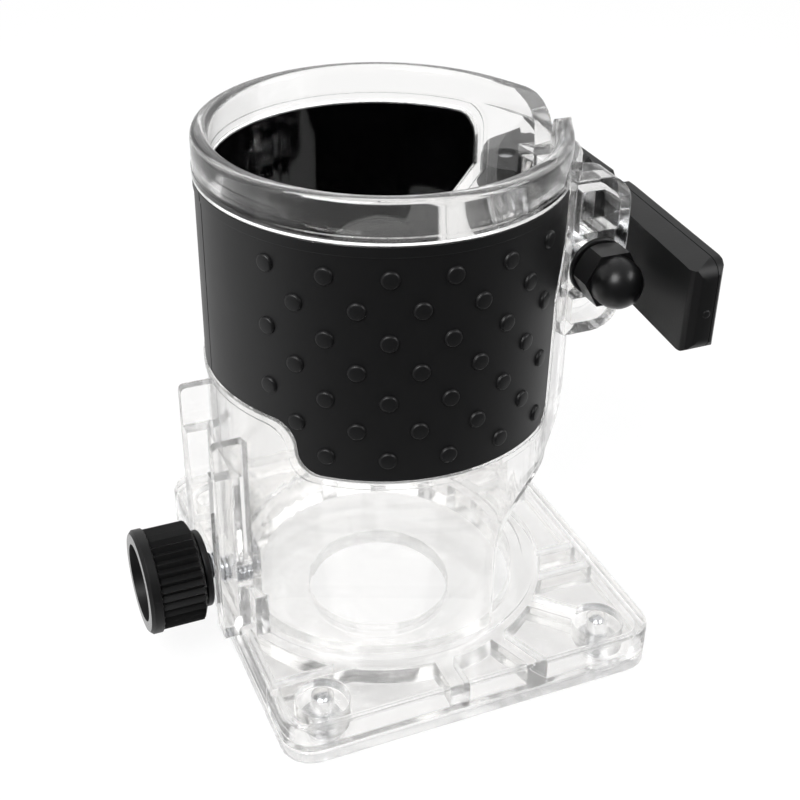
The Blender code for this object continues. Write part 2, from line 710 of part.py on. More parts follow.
def washer(name, material, radius, thick, axis, start, direction, centre, hole):
    """A flat ring with a small chamfer, standing on a plane and growing in a direction."""
    edge = thick / 5
    heights = [start, start + direction * edge, start + direction * (thick - edge), start + direction * thick]
    profile = list(zip((radius - edge, radius, radius, radius - edge), heights))
    made = piece(name, turned(profile, 40, axis, centre), material, centre)
    cut(made, disc(hole, *sorted((start - direction * BLEND, heights[-1] + direction * BLEND)), axis, centre))
    return made


def cap_nut(material):
    """A hexagon with a domed, closed end towards the user."""
    centre = (BOLT_X, 0, BOLT_Z)
    corner = NUT_FLATS / math.sqrt(3)
    hexagon = [(x + BOLT_X, z + BOLT_Z) for x, z in circle(0, 0, corner, 6)]
    made = piece("cap_nut", prism(hexagon, NUT_Y - NUT_HEX, NUT_Y, "Y"), material, centre)
    neck_end = NUT_Y - NUT_HEX - NUT_NECK
    dome = [(DOME_R * math.cos(math.radians(t)), neck_end - DOME_R * math.sin(math.radians(t))) for t in range(0, 90, 15)]
    join(made, turned([(0, NUT_Y - BLEND), (DOME_R, NUT_Y - BLEND), *dome, (0, neck_end - DOME_R)], 32, "Y", centre))
    shoulder = corner - NUT_FLATS / 2
    ring = [(NUT_FLATS / 2, NUT_Y), (corner + shoulder, NUT_Y - 2 * shoulder), (corner + shoulder, NUT_Y - NUT_HEX)]
    chamfer = piece("chamfer", turned([(0, NUT_Y), *ring, (DOME_R, NUT_Y - NUT_HEX - shoulder), (DOME_R, neck_end - DOME_R - BLEND),
                                       (0, neck_end - DOME_R - BLEND)], 32, "Y", centre), None)
    combine(made, taken(chamfer), "INTERSECT")
    cut(made, disc(BOLT_R + HOLE_GAP, NUT_Y - NUT_BORE_DEPTH, NUT_Y + BLEND, "Y", centre, 24))
    return made


def lever_outline():
    """Plan of the cam lever: a cam whose radius falls as it turns, a heel and a flat handle."""
    outline = []
    for turn in range(0, int(CAM_TURN_DEG) + 1, 10):
        radius = CAM_R - CAM_DROP_PER_RAD * math.radians(turn)
        angle = math.radians(-90 - turn)
        outline.append((BOLT_X + radius * math.cos(angle), PIN_Y + radius * math.sin(angle)))
    back = PIN_Y + LEVER_HEEL
    bend = LEVER_OUT - LEVER_IN
    outline += [(BOLT_X, back)]
    outline += arc(LEVER_OUT - bend, back - bend, bend, 90, 0, 5)
    tip = LEVER_TIP_ROUND
    outline += [(LEVER_OUT, LEVER_BEND_Y)]
    outline += arc(LEVER_TIP_OUT - tip, LEVER_TIP_Y + tip, tip, 0, -90, 3)
    outline += arc(LEVER_TIP_IN + tip, LEVER_TIP_Y + tip, tip, -90, -180, 3)
    outline += [(LEVER_IN, LEVER_BEND_Y), (LEVER_IN, PIN_Y - CAM_R)]
    return outline


def lever_side():
    """Side view of the lever, with a waist beside the ears and round corners at the handle's end."""
    back, corner = PIN_Y + LEVER_HEEL + BLEND, LEVER_CORNER
    tip = LEVER_TIP_Y + corner
    front, rear, waist = LEVER_BEND_Y + WAIST_FRONT, LEVER_BEND_Y + WAIST_BACK, LEVER_HIGH - WAIST_DEPTH
    outline = [(back, LEVER_LOW), (back, LEVER_HIGH), (rear, LEVER_HIGH), (rear - WAIST_DEPTH, waist)]
    outline += [(front + WAIST_DEPTH, waist), (front, LEVER_HIGH)]
    outline += arc(tip, LEVER_HIGH - corner, corner, 90, 180, 4)
    outline += arc(tip, LEVER_LOW + corner, corner, 180, 270, 4)
    return prism(outline, BOLT_X - 2 * CAM_R, LEVER_OUT + BLEND, "X")


def lever_facet():
    """The slope along the handle's upper inner edge, which follows the handle's lean."""
    slope = LEVER_FACET / LEVER_FACET_DEPTH
    high = LEVER_HIGH + BLEND
    lean = (LEVER_IN - LEVER_TIP_IN) / (LEVER_BEND_Y - LEVER_TIP_Y)
    rings = []
    for y in (LEVER_TIP_Y - BLEND, LEVER_BEND_Y, PIN_Y - CAM_R - LEVER_FACET_DEPTH):
        inner = LEVER_IN - lean * max(LEVER_BEND_Y - y, 0)
        edge = LEVER_HIGH - LEVER_FACET
        rings.append([
            (inner - BLEND, y, edge - BLEND * slope),
            (inner - BLEND, y, high),
            (inner + LEVER_FACET_DEPTH + BLEND / slope, y, high),
        ])
    return skin(rings)


def clamp_lever(material):
    origin = (BOLT_X, PIN_Y, BOLT_Z)
    made = piece("clamp_lever", prism(lever_outline(), LEVER_LOW, LEVER_HIGH), material, origin)
    combine(made, lever_side(), "INTERSECT")
    round_edges(made, LEVER_EDGE, 2, 60)
    cut(made, lever_facet())
    half = EYE_HALF + FORK_GAP
    reach = EYE_R + FORK_ROOM
    far = 2 * CAM_R
    fork = rect(BOLT_X - far, BOLT_X + reach, PIN_Y - far, PIN_Y + reach)
    cut(made, prism(fork, BOLT_Z - half, BOLT_Z + half))
    cut(made, disc(PIN_R + HOLE_GAP, LEVER_LOW - BLEND, LEVER_HIGH + BLEND, "Z", (BOLT_X, PIN_Y, 0), 24))
    return made


def guide_knob(material):
    """A ridged thumb knob with a ring and a round cup at its outer end."""
    steps = 2 * KNOB_RIDGES

    def ring(x, radius, ridge=0.0):
        angles = [2 * math.pi * i / steps for i in range(steps)]
        radii = [radius - (ridge if i % 2 else 0) for i in range(steps)]
        return [(x, r * math.cos(a), r * math.sin(a) + STUD_Z) for r, a in zip(radii, angles)]

    face, end = KNOB_FACE_X, KNOB_X
    hole = STUD_R + HOLE_GAP
    rings = [
        [(face + KNOB_CUP_DEPTH, 0, STUD_Z)],
        ring(face + KNOB_CUP_DEPTH, KNOB_CUP_R - KNOB_EDGE),
        ring(face, KNOB_CUP_R),
        ring(face, KNOB_RING_R - KNOB_EDGE),
        ring(face + KNOB_EDGE, KNOB_RING_R),
        ring(face + KNOB_RING, KNOB_RING_R),
        ring(face + KNOB_RING + KNOB_EDGE / 2, KNOB_R, KNOB_RIDGE_DEPTH),
        ring(end - KNOB_EDGE, KNOB_R, KNOB_RIDGE_DEPTH),
        ring(end, KNOB_R - KNOB_RIDGE_DEPTH - KNOB_EDGE),
        ring(end, hole),
        ring(end - KNOB_SOCKET, hole),
        [(end - KNOB_SOCKET, 0, STUD_Z)],
    ]
    return piece("guide_knob", skin(rings), material, (KNOB_X, 0, STUD_Z))


def guide_stud(material):
    start, end = KNOB_X - KNOB_SOCKET + SEAT_GAP, -STUD_END_X
    bevel = STUD_R / 4
    profile = [(0, start), (STUD_R, start), (STUD_R, end - bevel), (STUD_R - bevel, end), (0, end)]
    centre = (0, 0, STUD_Z)
    return piece("guide_stud", turned(profile, 24, "X", centre), material, (KNOB_X, 0, STUD_Z))


def build():
    clear_scene()
    clear = finish("clear_moulding", (0.93, 0.95, 0.96), 0.06, alpha=0.3)
    rubber = finish("black_rubber", (0.02, 0.02, 0.021), 0.55)
    black = finish("black_moulding", (0.018, 0.018, 0.018), 0.45)
    oxide = finish("black_oxide_steel", (0.03, 0.03, 0.032), 0.32, 0.9)
    steel = finish("zinc_steel", (0.62, 0.63, 0.65), 0.28, 1.0)

    bolt_line = (BOLT_X, 0, BOLT_Z)
    stud_line = (0, 0, STUD_Z)
    bolt_hole, stud_hole = BOLT_R + HOLE_GAP, STUD_R + HOLE_GAP
    pieces = [base_housing(clear), sub_base(clear)]
    pieces += [base_screw(i + 1, x, y, steel) for i, (x, y) in enumerate(screw_places())]
    pieces += [grip("front_grip", -1, rubber), grip("rear_grip", 1, rubber)]
    pieces += [clamp_bolt(steel), lever_pin(steel), clamp_lever(black), cap_nut(oxide)]
    pieces.append(washer("nut_washer", oxide, NUT_WASHER_R, NUT_WASHER_THICK, "Y",
                         NUT_WASHER_Y, -1, bolt_line, bolt_hole))
    pieces.append(washer("cam_washer", steel, CAM_WASHER_R, CAM_WASHER_THICK, "Y",
                         CAM_WASHER_Y, 1, bolt_line, bolt_hole))
    pieces += [guide_knob(black), guide_stud(steel)]
    pieces.append(washer("guide_washer", black, GUIDE_WASHER_R, GUIDE_WASHER_THICK, "X",
                         GUIDE_WASHER_X, -1, stud_line, stud_hole))

    centre = bpy.data.objects.new("footprint_centre", None)
    centre.location = (-FOOTPRINT_CENTRE_X, 0, 0)
    bpy.context.scene.collection.objects.link(centre)
    for made in pieces:
        made.parent = centre
        made.data.shade_smooth()
        made.data.set_sharp_from_angle(angle=math.radians(35))


build()
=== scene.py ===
"""Looks of the clear trim-router base: clear mouldings, dotted rubber grips, clamp, thumbscrew and stage."""

import json
import math

import bpy
from bpy.props import FloatProperty, FloatVectorProperty, IntProperty, PointerProperty
from mathutils import Matrix, Vector


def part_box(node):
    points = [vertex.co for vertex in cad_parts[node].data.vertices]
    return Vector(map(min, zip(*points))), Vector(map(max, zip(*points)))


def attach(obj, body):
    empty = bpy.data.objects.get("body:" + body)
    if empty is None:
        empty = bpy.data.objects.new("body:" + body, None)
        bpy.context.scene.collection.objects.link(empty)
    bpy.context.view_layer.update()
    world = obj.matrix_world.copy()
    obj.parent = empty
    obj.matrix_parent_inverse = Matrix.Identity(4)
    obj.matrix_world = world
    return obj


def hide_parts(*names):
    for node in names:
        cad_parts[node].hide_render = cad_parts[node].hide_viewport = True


bl_info = {
    "name": "Trim router base",
    "version": (1, 0, 0),
    "blender": (4, 5, 0),
    "location": "View3D > Sidebar > Router base",
    "description": "Dresses the packed trim-router base and sets its studio stage",
    "category": "Object",
}

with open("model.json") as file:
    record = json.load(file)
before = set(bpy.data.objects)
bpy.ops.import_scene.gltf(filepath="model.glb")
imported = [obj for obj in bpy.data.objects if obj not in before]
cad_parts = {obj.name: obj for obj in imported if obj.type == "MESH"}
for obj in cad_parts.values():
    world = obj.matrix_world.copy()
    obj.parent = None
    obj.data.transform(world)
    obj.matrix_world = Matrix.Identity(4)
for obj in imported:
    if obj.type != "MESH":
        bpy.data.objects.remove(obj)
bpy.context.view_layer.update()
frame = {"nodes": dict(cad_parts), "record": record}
MM = 0.001

# The collar's axis stands a little left of the middle of the footprint.
PLATE_TO_COLLAR = 36.8 * MM
COLLAR_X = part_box("sub_base")[0].x + PLATE_TO_COLLAR
GRIP_LOW, GRIP_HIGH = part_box("front_grip")
GRIP_RADIUS = COLLAR_X - GRIP_LOW.x
GRIP_THICKNESS = 1.4 * MM
GRIP_MIDDLE = GRIP_RADIUS - GRIP_THICKNESS / 2
BOND_SINK = 0.5 * MM
DOT_SINK = 0.06 * MM

MERGE_DISTANCE = 0.01 * MM
FLAT_ANGLE = math.radians(0.4)
SENSOR_WIDTH = 36.0
FLOOR_SIZE = 1.2
FLOOR_PLACE = (0, 0.1, -0.4 * MM)
FLOOR_FADE = (-0.15, 0.02)
FLOOR_GLOW = 0.9
ROOM_FADE = (-0.9, 0.3)
LIGHT_AIM = Vector((0, 0, 0.05))

# Each softbox: its name, place, width in metres and power in watts.
SOFTBOXES = (
    ("key_softbox", (-0.35, -0.25, 0.55), 0.35, 5.0),
    ("fill_softbox", (0.45, -0.30, 0.40), 0.30, 2.4),
    ("back_softbox", (0.10, 0.50, 0.45), 0.40, 0.4),
)

# Steps of a raised disc: lift and the scale that follows it.
DOT_SIDES = 18
DOT_PROFILE = ((0.48, 0.96), (0.28, 0.94), (0.16, 0.91), (0.08, 0.86))
GATE_SIDES = 14
GATE_RADIUS = 0.9 * MM
GATE_PROFILE = ((0.18 * MM, 0.85), (0.10 * MM, 0.55))


class ClearSettings(bpy.types.PropertyGroup):
    """The clear mouldings."""

    tint: FloatVectorProperty(
        name="Tint", description="Colour of the clear plastic", subtype="COLOR", size=3, min=0, max=1,
        default=(0.985, 0.981, 0.974))
    ior: FloatProperty(name="Index", description="Refractive index of the plastic", default=1.41, min=1.2, max=1.7)
    body: FloatProperty(
        name="Body", description="Share of the light that the housing bends", default=0.9, min=0, max=1,
        subtype="FACTOR")
    plate_body: FloatProperty(
        name="Plate body", description="Share of the light that the sub-base bends", default=0.6, min=0, max=1,
        subtype="FACTOR")
    haze: FloatProperty(
        name="Haze", description="Roughness of the moulded faces", default=0.04, min=0, max=1, subtype="FACTOR")
    edge: FloatProperty(
        name="Edge", description="Rounding of the moulded edges", default=0.45 * MM, min=0, subtype="DISTANCE")


class GripSettings(bpy.types.PropertyGroup):
    """The rubber grips and their dots."""

    colour: FloatVectorProperty(
        name="Rubber", description="Colour of the rubber", subtype="COLOR", size=3, min=0, max=1,
        default=(0.0038, 0.0038, 0.0041))
    dot_radius: FloatProperty(
        name="Dot radius", description="Radius of a raised dot", default=1.75 * MM, subtype="DISTANCE")
    dot_height: FloatProperty(
        name="Dot height", description="Height of a raised dot", default=0.62 * MM, subtype="DISTANCE")
    border: FloatProperty(
        name="Border", description="Height of the border along a grip's top", default=1.9 * MM, subtype="DISTANCE")
    field: FloatProperty(
        name="Field", description="Depth of the field under the border", default=0.2 * MM, subtype="DISTANCE")
    top_row: FloatProperty(
        name="Top row", description="Height of the top row of dots", default=97.5 * MM, subtype="DISTANCE")
    row_step: FloatProperty(
        name="Row step", description="Distance between rows of dots", default=6.24 * MM, subtype="DISTANCE")
    rows: IntProperty(name="Rows", description="Number of rows of dots", default=7, min=1)
    first_turn: FloatProperty(
        name="First dot", description="Angle of the first dot from the clamp side", subtype="ANGLE",
        default=math.radians(147.0))
    turn_step: FloatProperty(
        name="Dot step", description="Angle between dots in a row", subtype="ANGLE", default=math.radians(18.6))
    dots: IntProperty(name="Dots", description="Dots in a full row", default=6, min=1)


class BlackSettings(bpy.types.PropertyGroup):
    """Black mouldings and dark hardware."""

    moulding: FloatVectorProperty(
        name="Moulding", description="Colour of the black mouldings", subtype="COLOR", size=3, min=0, max=1,
        default=(0.0050, 0.0050, 0.0052))
    oxide: FloatVectorProperty(
        name="Black oxide", description="Colour of the blackened steel", subtype="COLOR", size=3, min=0, max=1,
        default=(0.007, 0.007, 0.0074))
    steel: FloatVectorProperty(
        name="Steel", description="Colour of the bright screws", subtype="COLOR", size=3, min=0, max=1,
        default=(0.62, 0.63, 0.65))


class StageSettings(bpy.types.PropertyGroup):
    """Camera, floor and light."""

    camera: FloatVectorProperty(
        name="Camera", description="Where the camera stands", size=3, subtype="TRANSLATION",
        default=(COLLAR_X - 91.985 * MM, -223.332 * MM, 203.604 * MM))
    turn: FloatVectorProperty(
        name="Angles", description="Azimuth, elevation and roll of the camera", size=3, subtype="EULER",
        default=(math.radians(-23.394), math.radians(32.303), math.radians(1.115)))
    lens: FloatProperty(name="Lens", description="Focal length in millimetres", default=60.97)
    room: FloatProperty(
        name="Room", description="Brightness of the studio behind the object", default=0.85, min=0, max=1)
    near: FloatProperty(
        name="Near side", description="Brightness of the studio behind the camera", default=0.06, min=0, max=1)


def settings(context):
    return context.scene.router_base


def deselect():
    bpy.ops.object.select_all(action="DESELECT")


def only(made):
    """Makes one object the selected and active one."""
    deselect()
    made.select_set(True)
    bpy.context.view_layer.objects.active = made


def apply_all(made):
    """Applies every modifier of a piece."""
    only(made)
    for step in list(made.modifiers):
        bpy.ops.object.modifier_apply(modifier=step.name)


def pick(made, test):
    """Selects the vertices that pass a test and leaves the piece in edit mode."""
    only(made)
    bpy.ops.object.mode_set(mode="EDIT")
    bpy.ops.mesh.select_mode(type="VERT")
    bpy.ops.mesh.select_all(action="DESELECT")
    bpy.ops.object.mode_set(mode="OBJECT")
    for point in made.data.vertices:
        point.select = test(point.co)
    bpy.ops.object.mode_set(mode="EDIT")


def drawn_in(made, value, centre, test):
    """Scales the vertices that pass a test about a centre."""
    pick(made, test)
    bpy.ops.transform.resize(value=value, center_override=centre)
    bpy.ops.object.mode_set(mode="OBJECT")


def raised(sides, radius, profile):
    """A low disc on z = 0 with a rounded edge, lifted and drawn in step by step."""
    deselect()
    bpy.ops.mesh.primitive_circle_add(vertices=sides, radius=radius, fill_type="NGON")
    made = bpy.context.object
    bpy.ops.object.mode_set(mode="EDIT")
    bpy.ops.mesh.select_all(action="SELECT")
    for lift, scale in profile:
        bpy.ops.mesh.extrude_region_move(TRANSFORM_OT_translate={"value": (0, 0, lift)})
        bpy.ops.transform.resize(value=(scale, scale, 1))
    bpy.ops.mesh.select_all(action="SELECT")
    bpy.ops.mesh.normals_make_consistent(inside=False)
    bpy.ops.object.mode_set(mode="OBJECT")
    return made


def dressed(node, material, bevel=0.0, segments=2, angle=35.0, smooth=35.0, plain=True, detail=None):
    """A merged copy of a CAD node, with rounded edges and smooth shading, that stands for the node."""
    source = frame["nodes"][node]
    made = bpy.data.objects.new(node + "_skin", source.data.copy())
    bpy.context.scene.collection.objects.link(made)
    made.data.materials.clear()
    made.data.materials.append(material)
    only(made)
    bpy.ops.mesh.customdata_custom_splitnormals_clear()
    bpy.ops.object.mode_set(mode="EDIT")
    bpy.ops.mesh.select_all(action="SELECT")
    bpy.ops.mesh.remove_doubles(threshold=MERGE_DISTANCE)
    if plain:
        bpy.ops.mesh.dissolve_limited(angle_limit=FLAT_ANGLE)
    bpy.ops.object.mode_set(mode="OBJECT")
    if bevel:
        step = made.modifiers.new("edges", "BEVEL")
        step.width = bevel
        step.segments = segments
        step.limit_method = "ANGLE"
        step.angle_limit = math.radians(angle)
        apply_all(made)
    if detail:
        detail(made)
    only(made)
    bpy.ops.object.shade_smooth_by_angle(angle=math.radians(smooth))
    if bevel and plain:
        step = made.modifiers.new("even", "WEIGHTED_NORMAL")
        step.keep_sharp = True
        apply_all(made)
    body = next(b for b, names in frame["record"]["behaviour"]["bodies"].items() if node in names)
    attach(made, body)
    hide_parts(node)
    return made


def material(name):
    """A new material with its Principled shader and tree."""
    made = bpy.data.materials.new(name)
    made.use_nodes = True
    return made, made.node_tree, made.node_tree.nodes["Principled BSDF"]


def grain_group():
    """Fine moulded grain: a roughness that varies a little and a height for a bump."""
    name = "moulded_grain"
    if name in bpy.data.node_groups:
        return bpy.data.node_groups[name]
    group = bpy.data.node_groups.new(name, "ShaderNodeTree")
    face = group.interface
    for label, default in (("Scale", 2200.0), ("Roughness", 0.4), ("Spread", 0.1)):
        socket = face.new_socket(name=label, in_out="INPUT", socket_type="NodeSocketFloat")
        socket.default_value = default
    for label in ("Roughness", "Height"):
        face.new_socket(name=label, in_out="OUTPUT", socket_type="NodeSocketFloat")
    nodes, links = group.nodes, group.links
    start, end = nodes.new("NodeGroupInput"), nodes.new("NodeGroupOutput")
    place = nodes.new("ShaderNodeTexCoord")
    fine, broad = nodes.new("ShaderNodeTexNoise"), nodes.new("ShaderNodeTexNoise")
    fine.inputs["Detail"].default_value = 3.0
    broad.inputs["Scale"].default_value = 90.0
    broad.inputs["Detail"].default_value = 4.0
    links.new(place.outputs["Object"], fine.inputs["Vector"])
    links.new(place.outputs["Object"], broad.inputs["Vector"])
    links.new(start.outputs["Scale"], fine.inputs["Scale"])
    centre = nodes.new("ShaderNodeMath")
    centre.operation = "SUBTRACT"
    centre.inputs[1].default_value = 0.5
    links.new(broad.outputs["Fac"], centre.inputs[0])
    spread = nodes.new("ShaderNodeMath")
    spread.operation = "MULTIPLY_ADD"
    links.new(centre.outputs[0], spread.inputs[0])
    links.new(start.outputs["Spread"], spread.inputs[1])
    links.new(start.outputs["Roughness"], spread.inputs[2])
    links.new(spread.outputs[0], end.inputs["Roughness"])
    links.new(fine.outputs["Fac"], end.inputs["Height"])
    return group


def grained(name, colour, roughness, spread, scale, bump, metallic=0.0, specular=0.5):
    """A dark material with moulded or cast grain."""
    made, tree, shader = material(name)
    shader.inputs["Base Color"].default_value = (*colour, 1)
    shader.inputs["Metallic"].default_value = metallic
    shader.inputs["Specular IOR Level"].default_value = specular
    grain = tree.nodes.new("ShaderNodeGroup")
    grain.node_tree = grain_group()
    grain.inputs["Scale"].default_value = scale
    grain.inputs["Roughness"].default_value = roughness
    grain.inputs["Spread"].default_value = spread
    lift = tree.nodes.new("ShaderNodeBump")
    lift.inputs["Strength"].default_value = bump
    lift.inputs["Distance"].default_value = 0.05 * MM
    tree.links.new(grain.outputs["Roughness"], shader.inputs["Roughness"])
    tree.links.new(grain.outputs["Height"], lift.inputs["Height"])
    tree.links.new(lift.outputs["Normal"], shader.inputs["Normal"])
    return made


def crested(made, axis, start, end, centre):
    """Gives the shank between two places along an axis the crests and roots of a thread."""
    half_pitch, root = 0.5 * MM, 0.84
    count = round((end - start) / half_pitch)
    along = [float(n == axis) for n in range(3)]
    only(made)
    bpy.ops.object.mode_set(mode="EDIT")
    bpy.ops.mesh.select_mode(type="VERT")
    for n in range(count + 1):
        bpy.ops.mesh.select_all(action="SELECT")
        bpy.ops.mesh.bisect(plane_co=[v * (start + n * half_pitch) for v in along], plane_no=along)
    bpy.ops.object.mode_set(mode="OBJECT")

    def in_root(place):
        ring = (place[axis] - start) / half_pitch
        near = round(ring)
        return abs(ring - near) < 0.02 and 0 < near < count and near % 2 == 1

    drawn_in(made, [1 if v else root for v in along], centre, in_root)


def clear_plastic(name, values, body):
    """Clear moulded plastic with slightly wavy faces and rounded edges."""
    made, tree, shader = material(name)
    shader.inputs["Base Color"].default_value = (*values.tint, 1)
    shader.inputs["Roughness"].default_value = values.haze
    shader.inputs["IOR"].default_value = values.ior
    shader.inputs["Alpha"].default_value = body
    shader.inputs["Transmission Weight"].default_value = 1.0
    place = tree.nodes.new("ShaderNodeTexCoord")
    flow = tree.nodes.new("ShaderNodeTexNoise")
    flow.inputs["Scale"].default_value = 60.0
    flow.inputs["Detail"].default_value = 2.0
    edge = tree.nodes.new("ShaderNodeBevel")
    edge.samples = 6
    edge.inputs["Radius"].default_value = values.edge
    lift = tree.nodes.new("ShaderNodeBump")
    lift.inputs["Strength"].default_value = 0.12
    lift.inputs["Distance"].default_value = 0.4 * MM
    tree.links.new(place.outputs["Object"], flow.inputs["Vector"])
    tree.links.new(flow.outputs["Fac"], lift.inputs["Height"])
    tree.links.new(edge.outputs["Normal"], lift.inputs["Normal"])
    tree.links.new(lift.outputs["Normal"], shader.inputs["Normal"])
    return made


def satin_black(values):
    """The black moulded plastic, made once."""
    name = "black_satin_moulding"
    return bpy.data.materials.get(name) or grained(
        name, values.moulding, roughness=0.42, spread=0.12, scale=1800.0, bump=0.3, specular=0.21)


def bright_steel(values):
    """The bright zinc of the screws, bolt, pin and stud, made once."""
    name = "bright_steel"
    return bpy.data.materials.get(name) or grained(
        name, values.steel, roughness=0.26, spread=0.12, scale=1500.0, bump=0.08, metallic=1.0)


class ROUTERBASE_OT_stage(bpy.types.Operator):
    """Camera, white sweep, soft lights and a grey room"""

    bl_idname = "routerbase.stage"
    bl_label = "Stage"

    def execute(self, context):
        values = settings(context).stage
        context.scene.view_settings.view_transform = "Standard"
        self.camera(context, values)
        self.sweep(values)
        self.room(context, values)
        self.lights()
        return {"FINISHED"}

    def camera(self, context, values):
        turn, rise, roll = values.turn
        back = Vector((math.sin(turn) * math.cos(rise), -math.cos(turn) * math.cos(rise), math.sin(rise)))
        right = (-back).cross(Vector((0, 0, 1))).normalized()
        up = right.cross(-back)
        side = right * math.cos(roll) + up * math.sin(roll)
        top = up * math.cos(roll) - right * math.sin(roll)
        data = bpy.data.cameras.new("photo_camera")
        data.lens = values.lens
        data.sensor_width = SENSOR_WIDTH
        data.clip_start = 0.01
        made = bpy.data.objects.new("photo_camera", data)
        made.matrix_world = Matrix.Translation(values.camera) @ Matrix((side, top, back)).transposed().to_4x4()
        context.scene.collection.objects.link(made)
        context.scene.camera = made

    def sweep(self, values):
        """A white floor that looks darker in reflections of its near side."""
        deselect()
        bpy.ops.mesh.primitive_plane_add(size=FLOOR_SIZE, location=FLOOR_PLACE)
        floor = bpy.context.object
        floor.name = "white_floor"
        bpy.ops.object.transform_apply(location=True, rotation=True, scale=True)
        made, tree, shader = material("white_sweep")
        shader.inputs["Base Color"].default_value = (0.93, 0.93, 0.93, 1)
        shader.inputs["Roughness"].default_value = 0.9
        glow = tree.nodes.new("ShaderNodeEmission")
        glow.inputs["Color"].default_value = (1, 1, 1, 1)
        blend = tree.nodes.new("ShaderNodeMixShader")
        path = tree.nodes.new("ShaderNodeLightPath")
        fade = self.fade(tree, "Object", FLOOR_FADE, (values.near, 1.0))
        seen = self.total(tree, path.outputs["Is Camera Ray"], path.outputs["Is Transmission Ray"])
        tree.links.new(self.total(tree, seen, fade), glow.inputs["Strength"])
        share = tree.nodes.new("ShaderNodeMath")
        share.operation = "MULTIPLY"
        share.inputs[1].default_value = FLOOR_GLOW
        tree.links.new(seen, share.inputs[0])
        tree.links.new(self.total(tree, share.outputs[0], path.outputs["Is Glossy Ray"]), blend.inputs["Fac"])
        tree.links.new(shader.outputs[0], blend.inputs[1])
        tree.links.new(glow.outputs[0], blend.inputs[2])
        tree.links.new(blend.outputs[0], tree.nodes["Material Output"].inputs["Surface"])
        floor.data.materials.append(made)

    def fade(self, tree, space, places, levels):
        """A level that changes smoothly between two places along Y."""
        place = tree.nodes.new("ShaderNodeTexCoord")
        split = tree.nodes.new("ShaderNodeSeparateXYZ")
        ramp = tree.nodes.new("ShaderNodeMapRange")
        ramp.interpolation_type = "SMOOTHSTEP"
        for label, value in zip(("From Min", "From Max", "To Min", "To Max"), (*places, *levels)):
            ramp.inputs[label].default_value = value
        tree.links.new(place.outputs[space], split.inputs[0])
        tree.links.new(split.outputs["Y"], ramp.inputs["Value"])
        return ramp.outputs["Result"]

    def total(self, tree, first, second):
        """The sum of two values, at most one."""
        made = tree.nodes.new("ShaderNodeMath")
        made.use_clamp = True
        tree.links.new(first, made.inputs[0])
        tree.links.new(second, made.inputs[1])
        return made.outputs[0]

    def room(self, context, values):
        world = bpy.data.worlds.new("studio")
        world.use_nodes = True
        tree = world.node_tree
        back = tree.nodes["Background"]
        fade = self.fade(tree, "Generated", ROOM_FADE, (values.near, values.room))
        tree.links.new(fade, back.inputs["Color"])
        white = tree.nodes.new("ShaderNodeBackground")
        white.inputs["Color"].default_value = (1, 1, 1, 1)
        blend = tree.nodes.new("ShaderNodeMixShader")
        path = tree.nodes.new("ShaderNodeLightPath")
        seen = self.total(tree, path.outputs["Is Camera Ray"], path.outputs["Is Transmission Ray"])
        tree.links.new(seen, blend.inputs["Fac"])
        tree.links.new(back.outputs[0], blend.inputs[1])
        tree.links.new(white.outputs[0], blend.inputs[2])
        tree.links.new(blend.outputs[0], tree.nodes["World Output"].inputs["Surface"])
        context.scene.world = world

    def lights(self):
        for name, place, size, power in SOFTBOXES:
            data = bpy.data.lights.new(name, "AREA")
            data.shape = "SQUARE"
            data.size = size
            data.energy = power
            made = bpy.data.objects.new(name, data)
            aim = LIGHT_AIM - Vector(place)
            made.matrix_world = Matrix.Translation(place) @ aim.to_track_quat("-Z", "Y").to_matrix().to_4x4()
            bpy.context.scene.collection.objects.link(made)


class ROUTERBASE_OT_clear_mouldings(bpy.types.Operator):
    """Clear housing and sub-base"""

    bl_idname = "routerbase.clear_mouldings"
    bl_label = "Clear mouldings"

    def execute(self, context):
        values = settings(context).clear
        housing = clear_plastic("clear_plastic", values, values.body)
        dressed("base_housing", housing, smooth=28.0)
        dressed("sub_base", clear_plastic("clear_plate", values, values.plate_body), smooth=28.0)
        return {"FINISHED"}


